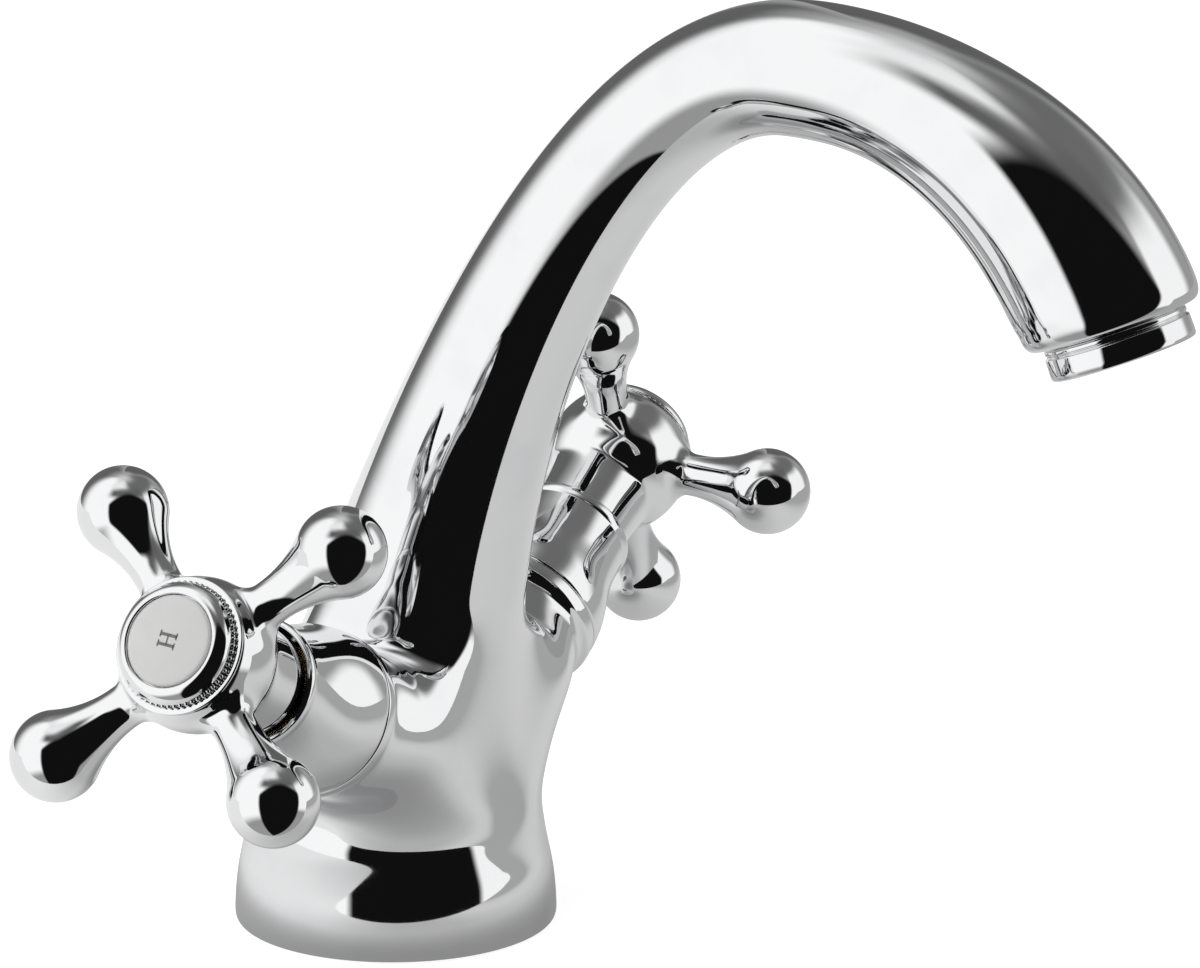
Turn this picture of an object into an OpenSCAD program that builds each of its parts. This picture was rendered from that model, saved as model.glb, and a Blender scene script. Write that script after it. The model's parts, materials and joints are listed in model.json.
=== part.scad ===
// Two-handle basin mixer: a cast body with foot and valve bosses, a swan-neck spout brazed on its neck,
// quarter-turn ceramic valves, cross handles with ball ends, and an aerator.
// Millimetres, +Z up. The origin is the centre of the foot on the deck, and the spout points along -Y.
// The hot valve is on the -X side and the cold valve on the +X side.

/* [Foot] */
// Diameter of the foot on the deck
foot_d = 55; // [52:1:70]
// Diameter of the waist above the foot
waist_d = 49.8; // [48:0.2:56]
// Height of the waist above the deck
waist_z = 23; // [20:1:30]
// Bevel round the bottom edge of the foot
foot_bevel = 0.8; // [0.4:0.1:1.5]
// Width of the rim under the foot, outside the recess
foot_rim_w = 6.5; // [6:0.5:8]
// Depth of the recess under the body
recess_depth = 8; // [5:0.5:10]
// Width of the groove for the rubber ring
base_seal_w = 2.4; // [1.6:0.2:3]
// Thickness of the rubber ring, flush with the deck
base_seal_t = 2; // [1.5:0.1:2.5]

/* [Spout] */
// Distance from the centre of the foot to the middle of the outlet end
spout_reach = 133; // [120:1:160]
// Height of the outlet end above the deck
outlet_z = 119; // [105:1:130]
// Distance from the centre of the foot to the crest
crest_y = 76.5; // [68:0.5:92]
// Height of the centreline at the crest
crest_z = 155.6; // [140:0.2:187]
// How far the centreline rises straight up from the waist
rise_pull = 38; // [28:1:50]
// Length of the flat approach behind the crest
back_pull = 43; // [34:1:52]
// Length of the flat run in front of the crest
front_pull = 30; // [22:1:36]
// Length of the straight run into the outlet
outlet_pull = 18; // [12:1:24]
// Lean of the outlet, forwards from straight down
outlet_lean = 21.6; // [0:0.2:35]
// Radius at the crest
crest_r = 11.3; // [10.6:0.1:14]
// Radius at the outlet end
outlet_r = 14.9; // [14.2:0.1:18]
// Control radius just above the body
root_r = 13.1; // [12:0.1:16]
// Control radius of the slim stretch behind the crest
slim_r = 8.6; // [8:0.1:11]
// Control radius in front of the crest
front_r = 10.8; // [10:0.1:14]
// Control radius above the outlet
swell_r = 16; // [14:0.1:18]
// Wall of the spout
spout_wall = 2.8; // [2:0.1:3.4]
// Height of the brazed joint between body and spout
braze_z = 64; // [62:1:80]

/* [Valve bosses] */
// Rise of the valve axes above level
valve_rise = 27.7; // [20:0.1:35]
// Height at which the valve axes cross
valve_z = 27.5; // [26:0.5:32]
// Distance of the valve axes in front of the centre
valve_y = 4.7; // [0:0.1:6]
// Distance from the crossing to the face of a boss
boss_s = 40; // [38:0.5:48]
// Radius of the boss at its face
boss_r = 14.4; // [14:0.1:17]
// Radius of the boss behind its flared edge
boss_neck_r = 13.2; // [12.8:0.1:14]
// Radius of the root of a boss, inside the body
boss_root_r = 19; // [17:0.1:20]
// Distance from the crossing to where the root has narrowed to the boss
boss_root_s = 27; // [24:0.5:31]
// Height of the straight edge of the boss
boss_edge_h = 2.4; // [1.5:0.1:4]
// Height of the flare behind the straight edge
boss_flare_h = 4; // [2:0.5:6]
// Radius of the threaded bore for the valve
port_r = 9.5; // [9:0.1:10.5]
// Distance from the crossing to the valve seat
seat_s = 21; // [20:0.5:24]

/* [Waterways] */
// Radius of the tapping for an inlet tail (M10 x 1)
inlet_r = 4.5; // [4:0.1:5]
// Depth of the inlet tapping
inlet_depth = 11; // [8:0.5:12]
// Distance of each inlet from the middle
inlet_x = 9.5; // [8.5:0.5:12]
// Radius of the passage above an inlet
riser_r = 3.4; // [2.5:0.1:3.6]
// Radius of the supply bore below the seat
supply_r = 4.5; // [3.5:0.1:5]
// Distance from the crossing to the blind end of the supply bore
supply_s = 8; // [7:0.5:9]
// Radius of the cross duct that joins the two chambers
cross_r = 3.8; // [3:0.1:4.2]
// Radius of the tapping for the fixing stud (M8)
stud_r = 3.4; // [3:0.1:3.6]
// Depth of the stud tapping
stud_depth = 14; // [10:0.5:16]
// Distance of the stud behind the centre
stud_y = 10; // [8:0.5:13]

/* [Shroud] */
// Radius of the shroud's seating rim
shroud_rim_r = 14.3; // [14:0.1:17]
// Height of the straight edge on the rim
shroud_rim_h = 1.2; // [0.8:0.1:2]
// Radius where the flare ends
shroud_flare_r = 11.8; // [11.6:0.1:13]
// Height at which the flare ends
shroud_flare_h = 12; // [9:0.5:14]
// Radius at the mouth
shroud_mouth_r = 11.1; // [11:0.1:12]
// Height of the shroud
shroud_h = 21.6; // [20:0.2:26]
// Wall of the shroud at the mouth
shroud_wall = 1.1; // [0.8:0.1:1.4]

/* [Handle] */
// Distance from the crossing to the plane of the ball ends
ball_s = 80.6; // [80:0.2:90]
// Distance from the valve axis to the middle of a ball
ball_reach = 29.3; // [26:0.1:36]
// Radius of a ball end
ball_r = 7.6; // [6.5:0.1:8.5]
// Distance from the valve axis to the slimmest place of an arm
arm_waist = 15; // [14:0.5:18]
// Radius of an arm at its slimmest place
arm_r = 3.7; // [3:0.1:4.5]
// Number of arms
arms = 4; // [3:1:5]
// Turn of the hot handle when shut
hot_turn = 42.9; // [0:0.1:90]
// Turn of the cold handle when shut
cold_turn = 5.9; // [0:0.1:90]
// Radius of the round hub
hub_r = 12.9; // [12.5:0.1:14]
// Distance of the middle of the hub below the ball plane
hub_drop = 0.2; // [0:0.1:3]
// Radius of the neck where it enters the shroud
neck_r = 9.6; // [9:0.1:9.8]
// How far the neck reaches into the shroud
neck_dip = 1.2; // [0.5:0.1:1.5]
// Height of the front of the hub above the ball plane
hub_front = 5.9; // [5:0.1:7]

/* [Index cap] */
// Radius of the collar that sits on the hub
cap_r = 11.5; // [11:0.1:12]
// Height of the cap above the hub
cap_h = 4.1; // [4:0.1:6]
// Number of beads round the cap
beads = 60; // [40:1:72]
// Radius of a bead
bead_r = 0.5; // [0.3:0.05:0.6]
// Radius of the porcelain disc
disc_r = 7.6; // [6.5:0.1:8]
// Thickness of the porcelain disc at its edge
disc_t = 1.2; // [0.8:0.1:1.6]
// Crown of the porcelain disc
disc_crown = 0.5; // [0.2:0.1:1]
// Radius of the plug that presses into the hub
plug_r = 8; // [7.6:0.1:8.4]
// Depth of the plug
plug_depth = 3; // [2:0.5:4]

/* [Valve] */
// Radius of the spindle's journal
spindle_r = 4; // [3.5:0.1:4.4]
// Radius of the spindle's splined end
spline_r = 3.6; // [3:0.1:3.8]
// Length of the splined end
spline_len = 13; // [10:0.5:15]
// Radius of the bush between spindle and hub
bush_r = 5.4; // [5:0.1:6]
// Radius of the O-rings' section on the spindle
ring_r = 0.9; // [0.7:0.05:1]
// Radius of the ceramic discs
ceramic_r = 7.2; // [6.5:0.1:7.5]
// Thickness of each ceramic disc
ceramic_t = 2.6; // [2:0.1:3]
// Width of the bonnet's hexagon across flats
hex_af = 19; // [17:0.5:20]
// Height of the bonnet's hexagon
hex_h = 5; // [4:0.5:7]
// Radius of the bonnet's upper tube
tube_r = 7; // [6.5:0.1:8]

/* [Aerator] */
// Radius of the visible ring
aerator_r = 12.1; // [11.8:0.1:13.5]
// Height of the visible ring
aerator_h = 5.4; // [4:0.1:8]
// Radius of the threaded sleeve
aerator_thread_r = 11; // [10.6:0.1:11.5]
// Length of the threaded sleeve
aerator_thread_len = 6.5; // [5:0.5:9]
// Thickness of the washer above the sleeve
washer_t = 1.5; // [1:0.1:2.5]
// Number of holes in the outer row of the flow former
flow_holes = 12; // [8:1:14]

/* [Clearances] */
// Running clearance of the spindle in the bonnet
run_c = 0.05; // [0.02:0.01:0.1]
// Clearance between fitted fixed pieces
fit_c = 0.05; // [0.02:0.01:0.1]
// Gap between pieces that turn and pieces that don't
turn_gap = 0.5; // [0.3:0.05:0.8]

/* [Hidden] */
$fn = 64;
hot = -1;
cold = 1;

// Spout: how finely the sweep is cut
sweep_sides = 36;
sweep_steps = 18;
bore_sides = 24;
// Neck of the body: how deep its root sits in the foot, and how far inside the waist
spout_sink = 1.5;
spout_ledge = 0.1;

// Spout: control points in the plane x = 0, given as [y, z]
outlet_dir = [-sin(outlet_lean), -cos(outlet_lean)];
outlet_end = [-spout_reach, outlet_z];
rise_line = [
    [0, waist_z - spout_sink],
    [0, waist_z + rise_pull],
    [-(crest_y - back_pull), crest_z],
    [-crest_y, crest_z]
];
fall_line = [
    [-crest_y, crest_z],
    [-(crest_y + front_pull), crest_z],
    outlet_end - outlet_pull * outlet_dir,
    outlet_end
];
rise_radii = [waist_d / 2 - spout_ledge, root_r, slim_r, crest_r];
fall_radii = [crest_r, front_r, swell_r, outlet_r];

// Under the foot
foot_r = foot_d / 2;
recess_r = foot_r - foot_rim_w;
seal_mid_r = foot_r - foot_rim_w / 2;
seal_in_r = seal_mid_r - base_seal_w / 2;
seal_out_r = seal_mid_r + base_seal_w / 2;
web_z = recess_depth;

// Mixing chamber above the valves
chamber_top_s = seat_s + 6;
cross_z = valve_z + sin(valve_rise) * chamber_top_s + cos(valve_rise) * port_r - cross_r + 0.2;
cross_x = cos(valve_rise) * chamber_top_s - sin(valve_rise) * port_r + 1.5;
mix_r = 8;
mix_bottom_z = cross_z - cross_r - 1;

// Handle heights, measured from the ball plane along the valve axis
hub_mid = -hub_drop;
cap_base = hub_front;
neck_bottom = boss_s + shroud_h - neck_dip - ball_s;
neck_top = hub_mid - sqrt(hub_r * hub_r - neck_r * neck_r);
screw_head_h = 2.4;
screw_web = 2;
screw_r = 2;
screw_head_gap = 2.8;
spline_top = hub_front - plug_depth - screw_head_h - screw_head_gap;
spline_bottom = spline_top - spline_len;
screw_seat = spline_top + screw_web;
arm_arc_r = (pow(ball_reach - arm_waist, 2) + arm_r * arm_r - ball_r * ball_r) / (2 * (ball_r - arm_r));

// Valve heights, measured along the valve axis from the crossing
seal_h = 3.4;
fixed_bottom = seat_s + seal_h;
moving_bottom = fixed_bottom + ceramic_t;
driver_bottom = moving_bottom + ceramic_t;
driver_t = 3;
thrust_s = driver_bottom + driver_t;
tube_top = boss_s + shroud_h - neck_dip - 2.4;
clip_s = tube_top + 0.15;
clip_t = 0.8;
journal_top = ball_s + spline_bottom;
bonnet_wall = 1.6;
bonnet_in_r = port_r - fit_c - bonnet_wall;
bonnet_ring_h = 1.7;
bonnet_ring_w = 1.35;
bonnet_ring_gap = 0.05;
seal_r = port_r - 2.6;
clip_groove = 0.8;

// Aerator heights, measured up from its lower face along the outlet axis
aerator_top = aerator_h + aerator_thread_len;
pocket_depth = aerator_thread_len + washer_t + 0.2;
former_r = aerator_thread_r - 1.3;
former_t = 4.5;
screen_t = 1.2;
outlet_floor_t = 1.2;
outlet_r_inner = former_r - 0.6;
washer_r_inner = former_r - 1;

function cubic(p, t) =
    pow(1 - t, 3) * p[0] + 3 * pow(1 - t, 2) * t * p[1] + 3 * (1 - t) * t * t * p[2] + pow(t, 3) * p[3];

function cubic_slope(p, t) =
    3 * pow(1 - t, 2) * (p[1] - p[0]) + 6 * (1 - t) * t * (p[2] - p[1]) + 3 * t * t * (p[3] - p[2]);

// One ring of points round the centreline, square to it; u runs from 0 at the waist to 2 at the outlet
function spout_point(u) = u <= 1 ? cubic(rise_line, u) : cubic(fall_line, u - 1);
function spout_slope(u) = u <= 1 ? cubic_slope(rise_line, u) : cubic_slope(fall_line, u - 1);
function spout_radius(u) = u <= 1 ? cubic(rise_radii, u) : cubic(fall_radii, u - 1);
function spout_ring(u, r, sides) =
    let (
        p = spout_point(u),
        d = spout_slope(u) / norm(spout_slope(u))
    )
    [for (i = [0 : sides - 1])
        let (a = 360 * i / sides)
        [r * cos(a), p[0] - r * sin(a) * d[1], p[1] + r * sin(a) * d[0]]
    ];

// A closed solid through a list of rings with the same number of points
module ring_solid(rings) {
    sides = len(rings[0]);
    last = len(rings) - 1;
    points = [for (ring = rings) each ring];
    walls = [
        for (j = [0 : last - 1])
            for (i = [0 : sides - 1])
                let (k = (i + 1) % sides)
                each [
                    [j * sides + i, (j + 1) * sides + k, (j + 1) * sides + i],
                    [j * sides + i, j * sides + k, (j + 1) * sides + k]
                ]
    ];
    start_cap = [[for (i = [sides - 1 : -1 : 0]) i]];
    end_cap = [[for (i = [0 : sides - 1]) last * sides + i]];
    polyhedron(points = points, faces = concat(start_cap, walls, end_cap), convexity = 6);
}

module spout_solid() {
    rings = [for (j = [0 : 2 * sweep_steps]) let (u = j / sweep_steps) spout_ring(u, spout_radius(u), sweep_sides)];
    ring_solid(rings);
}

module spout_bore() {
    first = round(0.2 * sweep_steps);
    rings = [
        for (j = [first : 2 * sweep_steps - 1])
            let (u = j / sweep_steps)
            spout_ring(u, min(mix_r, spout_radius(u) - spout_wall), bore_sides)
    ];
    ring_solid(rings);
}

// Places children on a valve axis: local z runs outwards from where the two axes cross
module on_valve(side) {
    translate([0, -valve_y, valve_z])
        rotate([0, side * (90 - valve_rise), 0])
            children();
}

// Places children on a handle: as on_valve, with z = 0 in the plane of the balls
module on_handle(side) {
    on_valve(side)
        translate([0, 0, ball_s])
            rotate([0, 0, side == hot ? hot_turn : cold_turn])
                children();
}

// Places children on the outlet axis: z = 0 on the lower face of the aerator, z up into the spout
module on_outlet() {
    translate([0, outlet_end[0] + aerator_h * outlet_dir[0], outlet_end[1] + aerator_h * outlet_dir[1]])
        rotate([-outlet_lean, 0, 0])
            children();
}

module tube(h, r_out, r_in) {
    difference() {
        cylinder(h = h, r = r_out);
        translate([0, 0, -1])
            cylinder(h = h + 2, r = r_in);
    }
}

module o_ring(mid_r, section_r) {
    rotate_extrude()
        translate([mid_r, 0])
            circle(r = section_r, $fn = 24);
}

// ---- Body casting and spout ----

// Foot: a gently hollow flare from the deck to the waist, on one arc
module foot() {
    rise = waist_z - foot_bevel;
    inset = foot_r - waist_d / 2;
    steps = 8;
    flare = [
        for (i = [0 : steps])
            let (t = i / steps)
            [foot_r - inset * (1 - cos(180 * t)) / 2, foot_bevel + rise * t]
    ];
    rotate_extrude()
        polygon(concat([[0, 0], [foot_r - foot_bevel, 0]], flare, [[0, waist_z]]));
}

module boss() {
    flare_s = boss_s - boss_edge_h - boss_flare_h;
    cylinder(h = flare_s + 0.01, r = boss_neck_r);
    cylinder(h = boss_root_s, r1 = boss_root_r, r2 = boss_neck_r);
    translate([0, 0, flare_s])
        cylinder(h = boss_flare_h, r1 = boss_neck_r, r2 = boss_r);
    translate([0, 0, boss_s - boss_edge_h])
        cylinder(h = boss_edge_h, r = boss_r);
}

// Supply bore, valve chamber and thread bore on one valve axis
module valve_bores() {
    translate([0, 0, supply_s])
        cylinder(h = boss_s, r = supply_r);
    translate([0, 0, seat_s])
        cylinder(h = boss_s, r = port_r);
}

module inlet(side) {
    riser_top = valve_z + inlet_x * tan(valve_rise);
    translate([side * inlet_x, -valve_y, 0]) {
        cylinder(h = web_z + inlet_depth, r = inlet_r);
        cylinder(h = riser_top, r = riser_r);
    }
}

// Everything above the brazed joint
module above_joint() {
    size = 2 * (spout_reach + crest_z);
    translate([-size / 2, -size / 2, braze_z])
        cube(size);
}

module body_casting() {
    color("gainsboro")
        difference() {
            union() {
                foot();
                spout_solid();
                for (side = [hot, cold])
                    on_valve(side)
                        boss();
            }
            above_joint();
            spout_bore();
            translate([0, 0, -1])
                cylinder(h = web_z + 1, r = recess_r);
            translate([0, 0, -1])
                tube(base_seal_t + 1, seal_out_r, seal_in_r);
            translate([0, stud_y, 0])
                cylinder(h = web_z + stud_depth, r = stud_r);
            for (side = [hot, cold]) {
                inlet(side);
                on_valve(side)
                    valve_bores();
            }
            translate([-cross_x, -valve_y, cross_z])
                rotate([0, 90, 0])
                    cylinder(h = 2 * cross_x, r = cross_r);
        }
}

module spout() {
    color("gainsboro")
        difference() {
            intersection() {
                spout_solid();
                above_joint();
            }
            spout_bore();
            on_outlet()
                translate([0, 0, aerator_h - 1])
                    cylinder(h = pocket_depth + 1, r = aerator_thread_r + fit_c);
        }
}

module base_seal() {
    color("dimgray")
        tube(base_seal_t, seal_out_r - fit_c, seal_in_r + fit_c);
}

// ---- Aerator ----

module aerator_housing() {
    lip_h = 0.9;
    step_r = aerator_r - 0.5;
    color("gainsboro")
        on_outlet()
            difference() {
                union() {
                    cylinder(h = aerator_h - lip_h, r = aerator_r);
                    translate([0, 0, aerator_h - lip_h])
                        cylinder(h = lip_h, r = step_r);
                    cylinder(h = aerator_top, r = aerator_thread_r);
                }
                translate([0, 0, -1])
                    cylinder(h = outlet_floor_t + 2, r = outlet_r_inner);
                translate([0, 0, outlet_floor_t])
                    cylinder(h = aerator_top, r = former_r);
            }
}

module aerator_washer() {
    color("dimgray")
        on_outlet()
            translate([0, 0, aerator_top])
                tube(washer_t, aerator_thread_r, washer_r_inner);
}

module aerator_insert() {
    rim_w = 1.2;
    plate_t = 1.8;
    hole_r = 0.7;
    row_r = former_r - 3;
    color("whitesmoke")
        on_outlet()
            translate([0, 0, aerator_top - former_t])
                difference() {
                    cylinder(h = former_t, r = former_r - fit_c);
                    translate([0, 0, -1])
                        cylinder(h = former_t - plate_t + 1, r = former_r - rim_w);
                    for (i = [0 : flow_holes - 1])
                        rotate([0, 0, 360 * i / flow_holes])
                            translate([row_r, 0, -1])
                                cylinder(h = former_t + 2, r = hole_r, $fn = 24);
                }
}

module aerator_screen() {
    color("silver")
        on_outlet()
            translate([0, 0, outlet_floor_t])
                cylinder(h = screen_t, r = former_r - fit_c);
}

// ---- Shroud and valve ----

// Conical cover: outer outline, with the wall taken inwards
module shroud(side) {
    collar_h = 8;
    collar_s = shroud_h - collar_h - 3;
    lip = 0.5;
    rim_w = 1.6;
    outline = [
        [shroud_rim_r, 0],
        [shroud_rim_r, shroud_rim_h],
        [shroud_rim_r - 0.8, 0.35 * shroud_flare_h],
        [shroud_flare_r + 0.5, 0.7 * shroud_flare_h],
        [shroud_flare_r, shroud_flare_h],
        [shroud_mouth_r, shroud_h - lip],
        [shroud_mouth_r - lip, shroud_h]
    ];
    inner = [
        [shroud_mouth_r - shroud_wall, shroud_h],
        [shroud_mouth_r - shroud_wall, collar_s + collar_h],
        [tube_r + fit_c, collar_s + collar_h - 2],
        [tube_r + fit_c, collar_s],
        [shroud_flare_r - shroud_wall, collar_s - 2],
        [shroud_rim_r - rim_w, 0]
    ];
    color("gainsboro")
        on_valve(side)
            translate([0, 0, boss_s])
                rotate_extrude()
                    polygon(concat(outline, inner));
}

// Housing of the headwork: thread, hexagon, tube, and the cage round the discs
module valve_bonnet(side) {
    window_w = 7;
    ring_seat_h = bonnet_ring_h + 2 * bonnet_ring_gap;
    ring_seat_r = port_r - bonnet_ring_w - bonnet_ring_gap;
    color("goldenrod")
        on_valve(side)
            difference() {
                union() {
                    translate([0, 0, fixed_bottom])
                        cylinder(h = boss_s - fixed_bottom, r = port_r - fit_c);
                    translate([0, 0, boss_s + 0.01])
                        rotate([0, 0, 30])
                            cylinder(h = hex_h, r = hex_af / (2 * cos(30)), $fn = 6);
                    translate([0, 0, boss_s])
                        cylinder(h = tube_top - boss_s, r = tube_r);
                }
                translate([0, 0, fixed_bottom - 1])
                    cylinder(h = thrust_s + turn_gap - fixed_bottom + 1, r = bonnet_in_r);
                translate([0, 0, fixed_bottom])
                    cylinder(h = tube_top, r = spindle_r + run_c);
                translate([-window_w / 2, -port_r - 1, fixed_bottom + ceramic_t + 0.4])
                    cube([window_w, 2 * port_r + 2, 2 * ceramic_t]);
                translate([0, 0, boss_s - ring_seat_h])
                    tube(ring_seat_h + 0.01, port_r + 1, ring_seat_r);
            }
}

module bonnet_ring(side) {
    color("dimgray")
        on_valve(side)
            translate([0, 0, boss_s - bonnet_ring_h - bonnet_ring_gap])
                tube(bonnet_ring_h, port_r - fit_c, port_r - bonnet_ring_w);
}

module seat_seal(side) {
    color("dimgray")
        on_valve(side)
            translate([0, 0, seat_s])
                tube(seal_h, seal_r, supply_r);
}

// A ceramic disc with one half-moon port on its local +y side
module ceramic_disc(bottom, turn) {
    edge_w = 1.5;
    hub_w = 1.2;
    land = 1;
    translate([0, 0, bottom])
        rotate([0, 0, turn])
            difference() {
                cylinder(h = ceramic_t, r = ceramic_r);
                intersection() {
                    translate([0, 0, -1])
                        tube(ceramic_t + 2, ceramic_r - edge_w, hub_w);
                    translate([-ceramic_r, land, -1])
                        cube([2 * ceramic_r, ceramic_r, ceramic_t + 2]);
                }
            }
}

module fixed_disc(side) {
    color("white")
        on_valve(side)
            ceramic_disc(fixed_bottom, 0);
}

module moving_disc(side) {
    color("white")
        on_valve(side)
            ceramic_disc(moving_bottom, 180);
}

// Spindle: driver plate on the moving disc, journal with two ring grooves, splined end tapped for the screw
module spindle(side) {
    groove_floor_r = spindle_r - 2 * ring_r + 0.2;
    tapped_h = 9;
    color("goldenrod")
        on_valve(side)
            difference() {
                union() {
                    translate([0, 0, driver_bottom])
                        cylinder(h = driver_t, r = ceramic_r);
                    translate([0, 0, driver_bottom])
                        cylinder(h = journal_top - driver_bottom, r = spindle_r);
                    translate([0, 0, journal_top])
                        cylinder(h = spline_len, r = spline_r);
                }
                for (s = ring_places())
                    translate([0, 0, s - ring_r])
                        tube(2 * ring_r, spindle_r + 1, groove_floor_r);
                translate([0, 0, clip_s])
                    tube(clip_t, spindle_r + 1, spindle_r - clip_groove);
                translate([0, 0, ball_s + spline_top - tapped_h])
                    cylinder(h = tapped_h + 1, r = screw_r);
            }
}

function ring_places() = [thrust_s + 5, thrust_s + 9];

module spindle_rings(side) {
    color("dimgray")
        on_valve(side)
            for (s = ring_places())
                translate([0, 0, s])
                    o_ring(spindle_r - ring_r + 0.1, ring_r - 0.1);
}

module spindle_clip(side) {
    clip_r = spindle_r + 1.6;
    mouth_w = 3;
    color("silver")
        on_valve(side)
            translate([0, 0, clip_s])
                difference() {
                    tube(clip_t, clip_r, spindle_r - clip_groove);
                    translate([0, -mouth_w / 2, -1])
                        cube([2 * clip_r, mouth_w, clip_t + 2]);
                }
}

// ---- Handle ----

// One arm on local +x: a slim neck on one arc that runs into the ball without a step
module arm() {
    arc_mid = [arm_waist, arm_r + arm_arc_r];
    touch = atan2(arc_mid[1], ball_reach - arc_mid[0]);
    start_x = arm_waist - 6;
    start_a = asin((arm_waist - start_x) / arm_arc_r);
    end_a = 90 - touch;
    steps = 10;
    neck = [
        for (i = [0 : steps])
            let (a = -start_a + (start_a + end_a) * i / steps)
            [arc_mid[0] + arm_arc_r * sin(a), arc_mid[1] - arm_arc_r * cos(a)]
    ];
    ball = [
        for (i = [1 : steps])
            let (a = 180 - touch - (180 - touch) * i / steps)
            [ball_reach + ball_r * cos(a), i == steps ? 0 : ball_r * sin(a)]
    ];
    outline = concat([[start_x, 0]], neck, ball);
    rotate([0, 90, 0])
        rotate_extrude($fn = 48)
            polygon([for (p = outline) [p[1], p[0]]]);
}

module handle_cross(side) {
    steps = 10;
    screw_hole_r = screw_r + 0.3;
    head_room_r = 5.2;
    spindle_room_r = spindle_r + 3;
    top_a = asin((hub_front - hub_mid) / hub_r);
    low_a = -acos(neck_r / hub_r);
    dome = [
        for (i = [0 : steps])
            let (a = low_a + (top_a - low_a) * i / steps)
            [hub_r * cos(a), hub_mid + hub_r * sin(a)]
    ];
    color("gainsboro")
        on_handle(side)
            difference() {
                union() {
                    rotate_extrude()
                        polygon(concat([[0, neck_bottom], [neck_r, neck_bottom]], dome, [[0, hub_front]]));
                    for (i = [0 : arms - 1])
                        rotate([0, 0, 360 * i / arms])
                            arm();
                }
                translate([0, 0, neck_bottom - 1])
                    cylinder(h = spline_top - neck_bottom + 1, r = bush_r + fit_c);
                translate([0, 0, neck_bottom - 1])
                    cylinder(h = spline_bottom - neck_bottom + 0.5, r = spindle_room_r);
                translate([0, 0, spline_top - 1])
                    cylinder(h = screw_web + 2, r = screw_hole_r);
                translate([0, 0, screw_seat])
                    cylinder(h = hub_front, r = head_room_r);
                translate([0, 0, hub_front - plug_depth])
                    cylinder(h = plug_depth + 1, r = plug_r + fit_c);
            }
}

module handle_bush(side) {
    end_gap = 0.35;
    color("whitesmoke")
        on_handle(side)
            translate([0, 0, spline_bottom + end_gap])
                tube(spline_len - 2 * end_gap, bush_r, spline_r + fit_c);
}

module handle_screw(side) {
    head_r = 4.4;
    shank_h = 8;
    slot_w = 1.2;
    slot_h = 1.1;
    color("silver")
        on_handle(side)
            difference() {
                union() {
                    translate([0, 0, screw_seat])
                        cylinder(h = screw_head_h, r = head_r);
                    translate([0, 0, spline_top - shank_h])
                        cylinder(h = shank_h + screw_web, r = screw_r - fit_c);
                }
                translate([-slot_w / 2, -head_r - 1, screw_seat + screw_head_h - slot_h])
                    cube([slot_w, 2 * head_r + 2, slot_h + 1]);
            }
}

// Bezel: collar, beaded edge, rounded face with a recess for the disc, and a plug for the hub
module index_cap(side) {
    collar_h = 0.5;
    ledge_w = 1.4;
    edge = 0.2;
    bead_gap = 0.1;
    bead_sink = 0.05;
    plug_w = 1.5;
    rim_w = 0.6;
    bead_z = collar_h + bead_gap + bead_r;
    face_r = disc_r + rim_w;
    round_steps = 6;
    flank_r = cap_r - ledge_w;
    flank_z = bead_z + bead_r + bead_gap;
    face = [
        for (i = [0 : round_steps])
            let (a = 90 * i / round_steps)
            [face_r + (flank_r - face_r) * cos(a), flank_z + (cap_h - flank_z) * sin(a)]
    ];
    outline = concat(
        [[0, 0], [cap_r, 0], [cap_r, collar_h - edge], [cap_r - edge, collar_h], [flank_r, collar_h]],
        face,
        [[disc_r + fit_c, cap_h - edge], [disc_r + fit_c, cap_h - disc_t], [0, cap_h - disc_t]]
    );
    color("gainsboro")
        on_handle(side)
            translate([0, 0, cap_base]) {
                rotate_extrude()
                    polygon(outline);
                translate([0, 0, -plug_depth])
                    tube(plug_depth + 0.01, plug_r, plug_r - plug_w);
                for (i = [0 : beads - 1])
                    rotate([0, 0, 360 * i / beads])
                        translate([flank_r - bead_sink, 0, bead_z])
                            sphere(r = bead_r, $fn = 16);
            }
}

module index_disc(side) {
    crown_r = (disc_r * disc_r + disc_crown * disc_crown) / (2 * disc_crown);
    crown_a = asin(disc_r / crown_r);
    steps = 6;
    crown = [
        for (i = [0 : steps])
            let (a = crown_a * (1 - i / steps))
            [crown_r * sin(a), disc_t + disc_crown - crown_r * (1 - cos(a))]
    ];
    color("ivory")
        on_handle(side)
            translate([0, 0, cap_base + cap_h - disc_t])
                rotate_extrude()
                    polygon(concat([[0, 0], [disc_r, 0]], crown));
}

body_casting();
spout();
base_seal();
aerator_housing();
aerator_washer();
aerator_insert();
aerator_screen();
shroud(hot);  // hot_shroud
valve_bonnet(hot);  // hot_valve_bonnet
bonnet_ring(hot);  // hot_bonnet_ring
seat_seal(hot);  // hot_seat_seal
fixed_disc(hot);  // hot_fixed_disc
shroud(cold);  // cold_shroud
valve_bonnet(cold);  // cold_valve_bonnet
bonnet_ring(cold);  // cold_bonnet_ring
seat_seal(cold);  // cold_seat_seal
fixed_disc(cold);  // cold_fixed_disc
handle_cross(hot);  // hot_handle_cross
handle_bush(hot);  // hot_handle_bush
handle_screw(hot);  // hot_handle_screw
index_cap(hot);  // hot_index_cap
index_disc(hot);  // hot_index_disc
spindle(hot);  // hot_spindle
spindle_rings(hot);  // hot_spindle_rings
spindle_clip(hot);  // hot_spindle_clip
moving_disc(hot);  // hot_moving_disc
handle_cross(cold);  // cold_handle_cross
handle_bush(cold);  // cold_handle_bush
handle_screw(cold);  // cold_handle_screw
index_cap(cold);  // cold_index_cap
index_disc(cold);  // cold_index_disc
spindle(cold);  // cold_spindle
spindle_rings(cold);  // cold_spindle_rings
spindle_clip(cold);  // cold_spindle_clip
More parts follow.
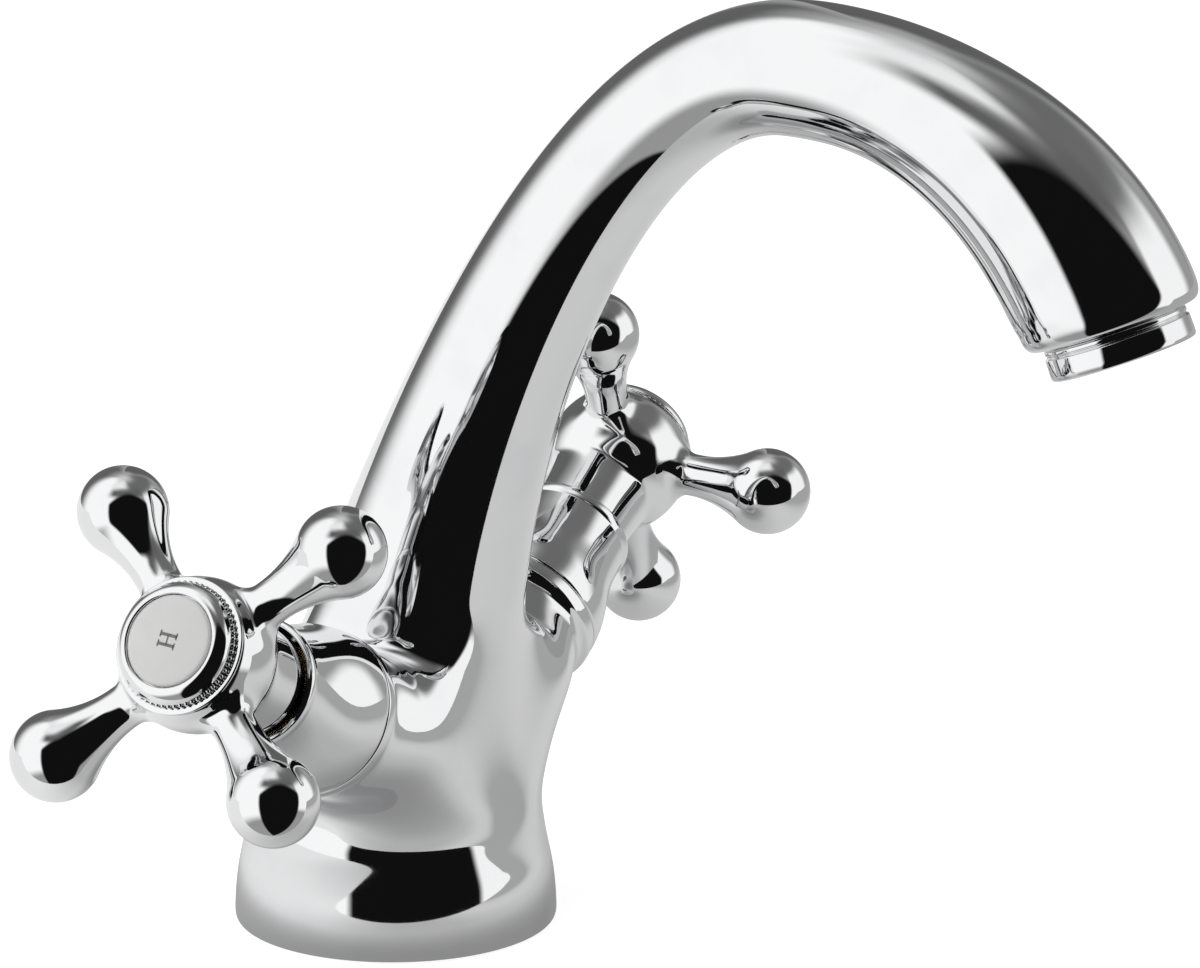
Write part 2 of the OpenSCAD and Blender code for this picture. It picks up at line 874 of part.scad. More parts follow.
moving_disc(cold);  // cold_moving_disc
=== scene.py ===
# %% [markdown]
# # A two-handle basin mixer in polished chrome
# The mixer is a cast body with two inclined valves, a swan-neck spout, two cross handles with ball ends and
# round index caps with porcelain discs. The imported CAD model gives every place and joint. This script
# replaces the chrome castings with smooth subdivision meshes, because a mirror finish shows each facet of a
# coarse mesh, and keeps the small hidden parts as they are with new materials.

import json
import math

import bmesh
import bpy
from mathutils import Matrix, Vector


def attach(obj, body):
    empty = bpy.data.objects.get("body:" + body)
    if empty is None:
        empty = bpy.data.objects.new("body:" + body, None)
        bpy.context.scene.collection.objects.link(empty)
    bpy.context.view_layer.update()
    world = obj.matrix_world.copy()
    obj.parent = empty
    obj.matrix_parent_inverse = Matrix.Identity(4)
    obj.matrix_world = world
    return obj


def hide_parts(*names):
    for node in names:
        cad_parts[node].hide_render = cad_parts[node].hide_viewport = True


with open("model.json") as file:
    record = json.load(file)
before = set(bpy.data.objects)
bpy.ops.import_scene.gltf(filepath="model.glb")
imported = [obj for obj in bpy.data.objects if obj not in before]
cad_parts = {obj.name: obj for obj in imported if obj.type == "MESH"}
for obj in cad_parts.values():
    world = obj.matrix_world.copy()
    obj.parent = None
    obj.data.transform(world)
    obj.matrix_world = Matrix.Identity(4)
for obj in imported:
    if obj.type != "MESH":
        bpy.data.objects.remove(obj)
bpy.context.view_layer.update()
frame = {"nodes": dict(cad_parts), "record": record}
MM = 0.001

# %% [markdown]
# ## The camera
# A product picture is taken from far away with a long lens, so that parallel edges stay parallel. The camera
# stands in front of the hot valve, a little above it. It could be aimed with a constraint, but a rotation
# worked out once is simpler, and it leaves nothing for the other views to undo.

# %% The camera
LENS = 226.3
SENSOR_WIDTH = 36
view_side = math.radians(-61.56)
view_rise = math.radians(14.8)
view_distance = 1.2947
view_aim = Vector((33.23, -21.81, 71.27)) * MM
towards_camera = Vector(
    (math.sin(view_side) * math.cos(view_rise), -math.cos(view_side) * math.cos(view_rise), math.sin(view_rise))
)

camera_data = bpy.data.cameras.new("camera")
camera_data.sensor_width = SENSOR_WIDTH
camera_data.lens = LENS
camera_data.clip_start = 0.05
camera_data.clip_end = 30
camera = bpy.data.objects.new("camera", camera_data)
camera.location = view_aim + towards_camera * view_distance
camera.rotation_mode = "QUATERNION"
camera.rotation_quaternion = (-towards_camera).to_track_quat("-Z", "Y")
bpy.context.scene.collection.objects.link(camera)
bpy.context.scene.camera = camera
bpy.context.scene.view_settings.view_transform = "Standard"
print("camera at", [round(value, 3) for value in camera.location])

# %% [markdown]
# ## Node trees from Python
# A material is a graph of nodes. Linking each one by hand is long and hard to read, so one small class wraps
# an output socket and turns + - and * into Math nodes, and one method adds any other node from its type, its
# settings and its inputs. The order matters: settings come first, because some of them change the sockets.


# %% A small class for node trees
class Value:
    """An output socket that can be used in sums."""

    def __init__(self, tree, socket):
        self.tree = tree
        self.socket = socket

    def math(self, operation, *operands):
        return self.tree.node("ShaderNodeMath", {"operation": operation}, dict(enumerate(operands)))

    def __add__(self, other):
        return self.math("ADD", self, other)

    def __radd__(self, other):
        return self.math("ADD", other, self)

    def __sub__(self, other):
        return self.math("SUBTRACT", self, other)

    def __rsub__(self, other):
        return self.math("SUBTRACT", other, self)

    def __mul__(self, other):
        return self.math("MULTIPLY", self, other)

    def __rmul__(self, other):
        return self.math("MULTIPLY", other, self)


class Tree:
    """A node tree being built, for a material or for the world."""

    def __init__(self, owner):
        owner.use_nodes = True
        self.nodes = owner.node_tree.nodes
        self.links = owner.node_tree.links
        self.nodes.clear()

    def node(self, kind, settings=None, sockets=None, output=0):
        made = self.nodes.new(kind)
        for name, setting in (settings or {}).items():
            setattr(made, name, setting)
        for name, value in (sockets or {}).items():
            if isinstance(value, Value):
                self.links.new(value.socket, made.inputs[name])
            else:
                made.inputs[name].default_value = value
        return Value(self, made.outputs[output]) if made.outputs else None

    def ramp(self, value, low, high):
        """0 below low, 1 above high and a soft rise between them."""
        return self.node(
            "ShaderNodeMapRange",
            {"interpolation_type": "SMOOTHSTEP"},
            {"Value": value, "From Min": low, "From Max": high},
        )

    def degrees(self, operation, *operands):
        """An inverse trigonometric function whose result is in degrees."""
        angle = self.node("ShaderNodeMath", {"operation": operation}, dict(enumerate(operands)))
        return self.node("ShaderNodeMath", {"operation": "DEGREES"}, {0: angle})

    def mix_colours(self, factor, colour_a, colour_b):
        return self.node("ShaderNodeMix", {"data_type": "RGBA"}, {0: factor, 6: colour_a, 7: colour_b}, 2)


print("node helpers ready")

# %% [markdown]
# ## The studio
# Chrome has no colour of its own: what is seen on it is the studio. A photographer surrounds it with large
# white panels and leaves black gaps, because the gaps draw the shape. Panels could be real cards, but cards
# would stand in the way of the other views, so the world's shader paints them by direction: white on the
# left, a black gap in front, greys behind. The camera itself sees plain white.

# %% The studio's panels
WHITE = (1, 1, 1, 1)
view_right = Vector((-towards_camera.y, towards_camera.x, 0)).normalized()
view_up = towards_camera.cross(view_right)

world = bpy.data.worlds.new("studio")
bpy.context.scene.world = world
studio = Tree(world)
direction = studio.node("ShaderNodeTexCoord", output="Generated")


def along(axis):
    """How far the seen direction points along an axis, from -1 to 1."""
    return studio.node("ShaderNodeVectorMath", {"operation": "DOT_PRODUCT"}, {0: direction, 1: axis}, "Value")


sideways = along(view_right)
upwards = along(view_up)
forwards = along(towards_camera)
turn = studio.degrees("ARCTAN2", sideways, forwards)
height = studio.degrees("ARCSINE", upwards)


def panel(level, brightness, turns, heights, above=height):
    """Lays a soft-edged panel over what is there. Each pair of edges is (start, full, full, end) in degrees."""
    mask = studio.ramp(turn, turns[0], turns[1]) * (1 - studio.ramp(turn, turns[2], turns[3]))
    mask = mask * studio.ramp(above, heights[0], heights[1]) * (1 - studio.ramp(above, heights[2], heights[3]))
    return level + (brightness - level) * mask


ROUND = (-200, -190, 190, 200)
GAP_MIDDLE = 17
GAP_BOW = 0.0104
bowed_height = height + (turn - GAP_MIDDLE) * (turn - GAP_MIDDLE) * GAP_BOW
level = panel(0.36, 0.42, ROUND, (20, 40, 95, 100))
level = panel(level, 1.15, (-132, -92, -30, 0), (-46, -26, 95, 100))
level = panel(level, 0.14, (-182, -168, -138, -108), (0, 14, 50, 80))
level = panel(level, 0.13, (140, 156, 190, 200), (10, 20, 55, 70))
level = panel(level, 1.0, (-60, -40, 16, 44), (50, 64, 95, 100))
level = panel(level, 0.17, (0, 44, 128, 165), (28, 50, 62, 90))
level = panel(level, 1.1, (60, 68, 110, 128), (-22, -12, 30, 44))
level = panel(level, 0.14, (-50, -24, 52, 80), (28, 42, 46, 64))
level = panel(level, 0.006, (-37, -30, 64, 70), (-100, -95, 38, 50), bowed_height)
level = panel(level, 0.7, ROUND, (70, 90, 95, 100))

panels = studio.node("ShaderNodeBackground", sockets={"Color": level, "Strength": 1.0})
backdrop = studio.node("ShaderNodeBackground", sockets={"Color": WHITE, "Strength": 1.0})
from_camera = studio.node("ShaderNodeLightPath", output="Is Camera Ray")
seen = studio.node("ShaderNodeMixShader", sockets={0: from_camera, 1: panels, 2: backdrop})
studio.node("ShaderNodeOutputWorld", sockets={"Surface": seen})
print("studio panels:", len(studio.nodes), "nodes")

# %% [markdown]
# ## The table in the reflections
# The mixer stands close to the front edge of a pale grey table, and beyond that edge the black gap goes on
# downwards. This edge is what draws the black wedge on the foot and the round end of the black stripe on the
# spout. It is near the mixer, so it can't be painted by direction: it has to be a real sheet. It is hidden
# from the camera and shown only in reflections. It is no lamp, yet it glows with painted light: its brightness
# changes across the view as the panels' light would fall, and a painted shadow darkens it near the foot.

# %% The reflected table
TABLE_FRONT = 100 * MM
TABLE_SIZE = 3.0
PENUMBRA_LEVEL = 0.62


def stage_sheet(name, size, place, material):
    """A flat square sheet that belongs to the studio and not to the mixer."""
    mesh = bpy.data.meshes.new(name)
    grid = bmesh.new()
    bmesh.ops.create_grid(grid, x_segments=1, y_segments=1, size=size, matrix=place)
    grid.to_mesh(mesh)
    grid.free()
    mesh.materials.append(material)
    made = bpy.data.objects.new(name, mesh)
    bpy.context.scene.collection.objects.link(made)
    return made


table_turn = Matrix.Rotation(math.atan2(towards_camera.y, towards_camera.x), 4, "Z")
table_place = table_turn @ Matrix.Translation((TABLE_FRONT - TABLE_SIZE, 0, 0))
table_material = bpy.data.materials.new("table_painted_light")
table = stage_sheet("table", TABLE_SIZE, table_place, table_material)
table.visible_camera = False
table.visible_diffuse = False
table.visible_shadow = False

sheet = Tree(table_material)
table_point = sheet.node("ShaderNodeTexCoord", output="Object")
across = sheet.node("ShaderNodeVectorMath", {"operation": "DOT_PRODUCT"}, {0: table_point, 1: view_right}, "Value")
from_foot = sheet.node("ShaderNodeVectorMath", {"operation": "LENGTH"}, {0: table_point}, "Value")
# Painted light: the glow is brightest on the left and changes across the view as the panels' light would fall.
painted_table_light = 0.95 - 0.43 * sheet.ramp(across, -0.09, 0.01) + 0.18 * sheet.ramp(across, 0.03, 0.1)
painted_table_light = painted_table_light - 0.26 * sheet.ramp(across, 0.12, 0.24)
# Painted shadow: the glow is darker within a few centimetres of the foot.
painted_table_light = painted_table_light * (PENUMBRA_LEVEL + (1 - PENUMBRA_LEVEL) * sheet.ramp(from_foot, 0.03, 0.065))
glow = sheet.node("ShaderNodeEmission", sockets={"Color": painted_table_light})
sheet.node("ShaderNodeOutputMaterial", sockets={"Surface": glow})
print("table edge", round(TABLE_FRONT / MM), "mm in front of the middle of the foot")

# %% [markdown]
# ## The floor and one soft lamp
# The floor is a plain pale sheet, bright enough to run into the white behind it, with a faint soft shadow at
# the foot. Chrome would mirror the floor's far edge as a hard line, so the floor isn't shown to glossy rays:
# the panels already hold its grey. The lamp gives the porcelain and the plastic a direction of light.

# %% The floor and the lamp
FLOOR_SIZE = 6
LAMP_SIZE = 0.7
LAMP_POWER = 6
LAMP_LEFT, LAMP_ABOVE, LAMP_NEARER = 0.5, 0.9, 0.3
floor_material = bpy.data.materials.new("pale_floor")
floor = stage_sheet("floor", FLOOR_SIZE, Matrix.Identity(4), floor_material)
floor.visible_glossy = False

sheet = Tree(floor_material)
paper = sheet.node(
    "ShaderNodeBsdfPrincipled",
    sockets={"Base Color": (0.5, 0.5, 0.5, 1), "Roughness": 0.9, "Emission Color": WHITE, "Emission Strength": 0.85},
)
sheet.node("ShaderNodeOutputMaterial", sockets={"Surface": paper})

lamp_data = bpy.data.lights.new("soft_lamp", "AREA")
lamp_data.shape = "DISK"
lamp_data.size = LAMP_SIZE
lamp_data.energy = LAMP_POWER
lamp = bpy.data.objects.new("soft_lamp", lamp_data)
lamp.location = view_aim - view_right * LAMP_LEFT + Vector((0, 0, LAMP_ABOVE)) + towards_camera * LAMP_NEARER
lamp.rotation_mode = "QUATERNION"
lamp.rotation_quaternion = (view_aim - lamp.location).to_track_quat("-Z", "Y")
lamp.visible_glossy = False
bpy.context.scene.collection.objects.link(lamp)
print("floor and lamp ready")

# %% [markdown]
# ## Finishes
# Polished chrome is a metal with almost no roughness. What keeps it from looking like a computer's idea of a
# mirror is that the polishing leaves a faint waviness and thin wipe marks, so the roughness varies a little
# and a very low bump bends the reflections. Each other finish gets its own tree: brass with a fine
# unevenness, rubber with a fine grain, moulded plastic, lapped and glazed ceramic, steel and woven wire.


# %% Helpers for finishes
def grain(tree, size_mm, detail=2.0, stretch=(1, 1, 1)):
    """Noise between 0 and 1 with blobs of about size_mm, on Object coordinates."""
    place = tree.node("ShaderNodeTexCoord", output="Object")
    place = tree.node("ShaderNodeMapping", sockets={"Vector": place, "Scale": stretch})
    return tree.node("ShaderNodeTexNoise", sockets={"Vector": place, "Scale": 1 / (size_mm * MM), "Detail": detail})


def bump(tree, height_value, depth_mm):
    return tree.node("ShaderNodeBump", sockets={"Height": height_value, "Distance": depth_mm * MM, "Strength": 1.0})


materials = {}


def start_material(name):
    materials[name] = bpy.data.materials.new(name)
    return Tree(materials[name])


def finish_material(tree, sockets):
    """Ends a tree: the principled shader with these sockets, and the output."""
    shader = tree.node("ShaderNodeBsdfPrincipled", sockets=sockets)
    tree.node("ShaderNodeOutputMaterial", sockets={"Surface": shader})


print("finish helpers ready")

# %% Chrome
tree = start_material("chrome")
smudges = tree.ramp(grain(tree, 14, 4), 0.45, 0.75)
wipes = tree.ramp(grain(tree, 3, 3, (1, 1, 6)), 0.5, 0.8)
finish_material(
    tree,
    {
        "Base Color": tree.mix_colours(smudges, (0.80, 0.803, 0.81, 1), (0.76, 0.765, 0.775, 1)),
        "Metallic": 1.0,
        "Roughness": 0.028 + smudges * 0.02 + wipes * 0.012,
        "Normal": bump(tree, grain(tree, 30, 1), 0.02),
    },
)

# %% Brass, steel and woven wire
tree = start_material("brass")
turning = grain(tree, 0.6, 2)
finish_material(
    tree,
    {
        "Base Color": tree.mix_colours(grain(tree, 6, 3), (0.80, 0.60, 0.28, 1), (0.70, 0.50, 0.22, 1)),
        "Metallic": 1.0,
        "Roughness": 0.22 + turning * 0.12,
        "Normal": bump(tree, turning, 0.01),
    },
)
tree = start_material("steel")
finish_material(
    tree,
    {
        "Base Color": tree.mix_colours(grain(tree, 4, 3), (0.62, 0.62, 0.63, 1), (0.54, 0.54, 0.55, 1)),
        "Metallic": 1.0,
        "Roughness": 0.2 + grain(tree, 1.2, 3) * 0.15,
    },
)
tree = start_material("steel_mesh")
finish_material(
    tree,
    {
        "Base Color": tree.mix_colours(grain(tree, 3, 2), (0.60, 0.60, 0.61, 1), (0.45, 0.45, 0.46, 1)),
        "Metallic": 1.0,
        "Roughness": 0.26 + grain(tree, 0.8, 2) * 0.15,
    },
)

# %% Rubber and plastic
tree = start_material("rubber")
pores = grain(tree, 0.35, 4)
finish_material(
    tree,
    {
        "Base Color": tree.mix_colours(pores, (0.016, 0.016, 0.016, 1), (0.04, 0.04, 0.04, 1)),
        "Roughness": 0.62 + pores * 0.2,
        "Normal": bump(tree, pores, 0.03),
    },
)
tree = start_material("white_plastic")
finish_material(
    tree,
    {
        "Base Color": tree.mix_colours(grain(tree, 8, 2), (0.84, 0.84, 0.81, 1), (0.78, 0.78, 0.75, 1)),
        "Roughness": 0.38 + grain(tree, 0.5, 2) * 0.12,
        "Normal": bump(tree, grain(tree, 0.4, 2), 0.008),
    },
)

# %% Ceramics and the printed letters
tree = start_material("valve_ceramic")
finish_material(
    tree,
    {
        "Base Color": tree.mix_colours(grain(tree, 2, 3), (0.88, 0.87, 0.84, 1), (0.82, 0.81, 0.78, 1)),
        "Roughness": 0.3 + grain(tree, 0.6, 2) * 0.1,
    },
)
tree = start_material("porcelain")
cloud = grain(tree, 5, 3)
finish_material(
    tree,
    {
        "Base Color": tree.mix_colours(cloud, (0.58, 0.58, 0.575, 1), (0.53, 0.53, 0.525, 1)),
        "Roughness": 0.16 + cloud * 0.06,
        "Coat Weight": 0.6 + cloud * 0.2,
        "Coat Roughness": 0.05,
        "Normal": bump(tree, grain(tree, 3, 2), 0.01),
    },
)
tree = start_material("letter_enamel")
finish_material(
    tree,
    {
        "Base Color": tree.mix_colours(grain(tree, 0.6, 2), (0.10, 0.10, 0.10, 1), (0.16, 0.16, 0.16, 1)),
        "Roughness": 0.35 + grain(tree, 0.5, 2) * 0.1,
    },
)
print("finishes:", sorted(materials))

# %% [markdown]
# ## Places on the mixer
# Everything follows three axes: the upright axis of the foot, the two valve axes that cross above it, and the
# line of the spout. A place is written as a matrix, so that a ring of vertices can be moved from one place
# to the next by one transform. All shapes are made in millimetres and scaled to metres at the end.

# %% Places as matrices
HOT = -1
COLD = 1
SIDE_NAMES = {HOT: "hot", COLD: "cold"}
VALVE_RISE = 27.7
VALVE_CROSSING = Vector((0, -4.7, 27.5))
BALL_PLANE = 80.6
BOSS_FACE = 40.0
HANDLE_TURN = {HOT: 42.9, COLD: 5.9}


def valve(side, distance=0.0):
    """The valve axis as local z, from the point where both axes cross."""
    lean = Matrix.Rotation(math.radians(side * (90 - VALVE_RISE)), 4, "Y")
    return Matrix.Translation(VALVE_CROSSING) @ lean @ Matrix.Translation((0, 0, distance))


def handle(side):
    """The handle at rest: z = 0 in the plane of the balls, x along one arm."""
    return valve(side, BALL_PLANE) @ Matrix.Rotation(math.radians(HANDLE_TURN[side]), 4, "Z")


def ring(place, radius, height=0.0):
    """The matrix that puts a unit circle at this height of a place."""
    return place @ Matrix.Translation((0, 0, height)) @ Matrix.Scale(radius, 4)


UPRIGHT = Matrix.Identity(4)
print("hot valve axis:", [round(value, 3) for value in valve(HOT).col[2][:3]])


# %% [markdown]
# ## Helpers for modelling
# Castings start as a circle of few vertices that is extruded from place to place, which gives a light cage
# for a Subdivision Surface modifier. The modifier pulls a ring of vertices inwards, so each ring starts a
# little larger. Turned parts start as half an outline that is spun round an axis, with its corners bevelled
# first, because no real edge is knife sharp and the small radius is what catches the light.


# %% Helpers for cages and turned parts
def swell(sides):
    """How much larger a ring of the cage has to be than the ring on the smooth surface."""
    return 3 / (2 + math.cos(2 * math.pi / sides))


def new_cage():
    bm = bmesh.new()
    bm.edges.layers.float.new("crease_edge")
    return bm


def set_crease(bm, edges, amount):
    layer = bm.edges.layers.float.get("crease_edge")
    for edge in edges:
        edge[layer] = amount


def circle(bm, sides, place):
    made = bmesh.ops.create_circle(bm, segments=sides, radius=1, matrix=place)["verts"]
    return list(dict.fromkeys(edge for vert in made for edge in vert.link_edges))


def sweep(bm, edges, before, stations):
    """Extrudes a ring of edges from one station to the next. A station is (place, crease)."""
    for place, crease in stations:
        made = bmesh.ops.extrude_edge_only(bm, edges=edges)["geom"]
        verts = [part for part in made if isinstance(part, bmesh.types.BMVert)]
        edges = [part for part in made if isinstance(part, bmesh.types.BMEdge) and part.is_boundary]
        bmesh.ops.transform(bm, matrix=place @ before.inverted(), verts=verts)
        set_crease(bm, edges, crease)
        before = place
    return edges


def close(bm, edges, crease=1.0):
    set_crease(bm, edges, crease)
    return bmesh.ops.edgeloop_fill(bm, edges=edges)["faces"]


def turned(bm, outline, place, sides=96, closed=True):
    """Spins an outline of (radius, height, edge rounding) points round the local z axis of a place."""
    half = bmesh.new()
    corners = [half.verts.new((radius, 0, height)) for radius, height, _ in outline]
    pairs = list(zip(corners, corners[1:])) + ([(corners[-1], corners[0])] if closed else [])
    for pair in pairs:
        half.edges.new(pair)
    for corner, (_, _, rounding) in zip(corners, outline):
        if rounding:
            bmesh.ops.bevel(
                half, geom=[corner], offset=rounding, offset_type="OFFSET", segments=4,
                profile=0.5, affect="VERTICES", material=-1,
            )
    bmesh.ops.spin(
        half, geom=half.verts[:] + half.edges[:], cent=(0, 0, 0), axis=(0, 0, 1),
        angle=2 * math.pi, steps=sides, use_merge=True,
    )
    bmesh.ops.remove_doubles(half, verts=half.verts, dist=0.0005)
    bmesh.ops.recalc_face_normals(half, faces=half.faces)
    bmesh.ops.transform(half, matrix=place, verts=half.verts)
    part = bpy.data.meshes.new("part")
    half.to_mesh(part)
    half.free()
    bm.from_mesh(part)
    bpy.data.meshes.remove(part)


def make_piece(name, bm, body, finish, replaced=(), sharp_angle=None):
    """Turns a bmesh in millimetres into a finished piece of the mixer."""
    bmesh.ops.scale(bm, vec=(MM, MM, MM), verts=bm.verts)
    for face in bm.faces:
        face.smooth = True
    mesh = bpy.data.meshes.new(name)
    bm.to_mesh(mesh)
    bm.free()
    if sharp_angle:
        mesh.set_sharp_from_angle(angle=math.radians(sharp_angle))
    piece = bpy.data.objects.new(name, mesh)
    bpy.context.scene.collection.objects.link(piece)
    mesh.materials.append(materials[finish])
    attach(piece, body)
    if replaced:
        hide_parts(*replaced)
    print(name, "has", len(mesh.polygons), "faces")
    return piece


def subdivide(piece, levels):
    modifier = piece.modifiers.new("smooth", "SUBSURF")
    modifier.levels = levels
    modifier.render_levels = levels
    return modifier


print("modelling helpers ready")

# %% [markdown]
# ## Body and spout
# On the real mixer the foot, the valve bosses and the swan neck flow into each other without a step, so one
# mesh stands for both castings. Booleans on cylinders would leave creases that a mirror finish shows at
# once. A cage is better: a ring of 16 vertices climbs from the foot along the spout, a patch of six by
# four faces is opened on each side, and its 20 edges are bridged to the 20 edges of the boss.

# %% The line of the spout
RISE = ((0, 21.5), (0, 61.0), (-33.5, 155.6), (-76.5, 155.6))
RISE_RADII = (24.8, 13.1, 8.6, 11.3)
OUTLET_LEAN = math.radians(21.6)
OUTLET_DIRECTION = Vector((0, -math.sin(OUTLET_LEAN), -math.cos(OUTLET_LEAN)))
OUTLET_END = Vector((0, -133.0, 119.0))
OUTLET_BEFORE = OUTLET_END - 18 * OUTLET_DIRECTION
FALL = ((-76.5, 155.6), (-106.5, 155.6), (OUTLET_BEFORE.y, OUTLET_BEFORE.z), (OUTLET_END.y, OUTLET_END.z))
FALL_RADII = (11.3, 10.8, 16.0, 14.9)


def cubic(controls, t):
    """A point of the cubic curve with these four controls, and its slope."""
    weights = ((1 - t) ** 3, 3 * (1 - t) ** 2 * t, 3 * (1 - t) * t**2, t**3)
    slopes = (-3 * (1 - t) ** 2, 3 * (1 - t) ** 2 - 6 * (1 - t) * t, 6 * (1 - t) * t - 3 * t**2, 3 * t**2)
    point = sum(weight * control for weight, control in zip(weights, controls))
    slope = sum(weight * control for weight, control in zip(slopes, controls))
    return point, slope


def on_spout(line, radii, t, larger):
    y, along_y = cubic([control[0] for control in line], t)
    z, along_z = cubic([control[1] for control in line], t)
    tilt = Matrix.Rotation(math.atan2(-along_y, along_z), 4, "X")
    return ring(Matrix.Translation((0, y, z)) @ tilt, cubic(radii, t)[0] * larger)


CAGE_SIDES = 16
PATCH_LOW = 20.5
PATCH_STEPS = (0.05, 0.11, 0.175, 0.24)
RISE_RINGS = 17
FALL_RINGS = 10
body_swell = swell(CAGE_SIDES)
patch_end = PATCH_STEPS[-1]
rise_steps = PATCH_STEPS + tuple(patch_end + (1 - patch_end) * step / RISE_RINGS for step in range(1, RISE_RINGS + 1))
rise = [on_spout(RISE, RISE_RADII, t, body_swell) for t in rise_steps]
fall = [on_spout(FALL, FALL_RADII, step / FALL_RINGS, body_swell) for step in range(1, FALL_RINGS)]
patch_high = rise[len(PATCH_STEPS) - 1].translation.z
print("boss patch from", PATCH_LOW, "to", round(patch_high, 1), "mm; spout rings:", len(rise) + len(fall))

# %% The cage of the body
ROOT_TOP = 22.5
RECESS_RADIUS = 21.0
FOOT_INSIDE = ((0.5, 21.0), (0, 21.5), (0, 22.6), (0.4, 23.05))
FOOT_GROOVE = ((2.0, 23.05), (2.0, 25.45))
FOOT_OUTSIDE = (
    (0.4, 25.45), (0, 25.8), (0, 26.5), (0.15, 27.1), (0.7, 27.5), (1.6, 27.57), (3.4, 27.5), (5.6, 27.35),
    (8.0, 27.1), (10.5, 26.7), (13.0, 26.1), (15.5, 25.6), (18.0, 25.2), (PATCH_LOW, 24.95),
)
OUTLET_ROLL = ((-3.4, 14.93), (-2.0, 14.85), (-0.9, 14.55), (-0.25, 13.95), (0, 13.1), (0, 12.0), (-0.2, 11.3))
POCKET_RADIUS = 11.08
POCKET_EDGE = 0.8
POCKET_DEPTH = 8.2
UNDER_BOSS_START = 10.0
UNDER_BOSS_INSIDE = 24.0
UNDER_BOSS_PUSH = 1.9
UNDER_BOSS_SPREAD = 1.4

outlet = Matrix.Translation(OUTLET_END) @ Matrix.Rotation(math.pi - OUTLET_LEAN, 4, "X")
stations = [(ring(UPRIGHT, r * body_swell, z), 0) for z, r in FOOT_INSIDE]
stations += [(ring(UPRIGHT, r * body_swell, z), 1) for z, r in FOOT_GROOVE]
stations += [(ring(UPRIGHT, r * body_swell, z), 0) for z, r in FOOT_OUTSIDE]
stations += [(place, 0) for place in rise + fall]
stations += [(ring(outlet, r * body_swell, z), 0) for z, r in OUTLET_ROLL]
stations += [(ring(outlet, POCKET_RADIUS * body_swell, -POCKET_EDGE), 0)]
stations += [(ring(outlet, POCKET_RADIUS * body_swell, -POCKET_DEPTH), 1)]

bm = new_cage()
start = ring(UPRIGHT, RECESS_RADIUS * body_swell, ROOT_TOP)
first = circle(bm, CAGE_SIDES, start)
last = sweep(bm, first, start, stations)
close(bm, first)
close(bm, last)
for vert in bm.verts:
    if UNDER_BOSS_START < vert.co.z < PATCH_LOW + 0.1 and math.hypot(vert.co.x, vert.co.y) > UNDER_BOSS_INSIDE:
        off_axis = math.atan2(abs(vert.co.y), abs(vert.co.x))
        rise_part = (vert.co.z - UNDER_BOSS_START) / (PATCH_LOW - UNDER_BOSS_START)
        push = UNDER_BOSS_PUSH * rise_part * max(math.cos(UNDER_BOSS_SPREAD * off_axis), 0) ** 2
        vert.co += Vector((vert.co.x, vert.co.y, 0)).normalized() * push
bm.normal_update()
print("body cage:", len(bm.faces), "faces")

# %% [markdown]
# The bosses come next. Each stands on a patch of the body that is six faces wide and four high. The patch is
# deleted, an oval ring is put on the valve axis, and Bridge fills the gap. The first rings are wider than tall
# and lean less than the valve does, so that the body opens upwards like a Y and runs into the boss without a
# notch. The threaded bore inside is extruded back in.

# %% The valve bosses
BOSS_SIDES = 20
BOSS_ROOT = ((25.0, 13.2, 16.7, 14.0), (30.0, 13.2, 15.1, 22.0), (34.0, 13.2, 13.7, VALVE_RISE))
BOSS_OUTSIDE = (
    (35.6, 13.25), (36.6, 13.6), (37.2, 14.15), (37.7, 14.38), (39.4, 14.4), (39.85, 14.3), (40.0, 13.9),
)
BOSS_INSIDE = ((40.0, 10.4), (39.8, 9.7), (39.2, 9.5))
SEAT = 21.0
BORE_RADIUS = 9.5
PATCH_EDGE = 0.35
PATCH_SMOOTHING = 0.4
boss_swell = swell(BOSS_SIDES)


def root_ring(side, distance, half_height, half_width, rise):
    """An oval ring round the valve axis, whose plane leans back by this rise."""
    lean = Matrix.Rotation(math.radians(side * (90 - rise)), 4, "Y")
    oval = Matrix.Diagonal((half_height * boss_swell, half_width * boss_swell, 1, 1))
    return Matrix.Translation(valve(side, distance).translation) @ lean @ oval


for side, name in SIDE_NAMES.items():
    patch = [
        face
        for face in bm.faces
        if PATCH_LOW < face.calc_center_median().z < patch_high
        and side * face.calc_center_median().x > 0
        and abs(face.normal.x) > PATCH_EDGE
    ]
    bmesh.ops.delete(bm, geom=patch, context="FACES")
    hole = [edge for edge in bm.edges if edge.is_boundary]
    before = root_ring(side, *BOSS_ROOT[0])
    collar = circle(bm, BOSS_SIDES, before)
    bmesh.ops.bridge_loops(bm, edges=hole + collar)
    around = list(dict.fromkeys(vert for edge in hole for vert in edge.verts))
    bmesh.ops.smooth_vert(
        bm, verts=around, factor=PATCH_SMOOTHING, use_axis_x=True, use_axis_y=True, use_axis_z=True
    )
    stations = [(root_ring(side, *values), 0) for values in BOSS_ROOT[1:]]
    stations += [(ring(valve(side), r * boss_swell, s), 0) for s, r in BOSS_OUTSIDE + BOSS_INSIDE]
    stations += [(ring(valve(side), BORE_RADIUS * boss_swell, SEAT), 1)]
    close(bm, sweep(bm, collar, before, stations))
    print(name, "boss on a patch of", len(patch), "faces and", len(hole), "edges")
bmesh.ops.recalc_face_normals(bm, faces=bm.faces)
body = make_piece("body", bm, "mixer", "chrome", ("body_casting", "spout"))
subdivide(body, 3)

# %% [markdown]
# Seen from below, the foot has a shallow recess whose floor is bored for the fixing stud and the two supply
# tails. The floor is flat with sharp machined holes, so it isn't part of the smooth cage. It is a plate of
# its own: four circles, a fill that leaves the three small ones open, and one extrusion.

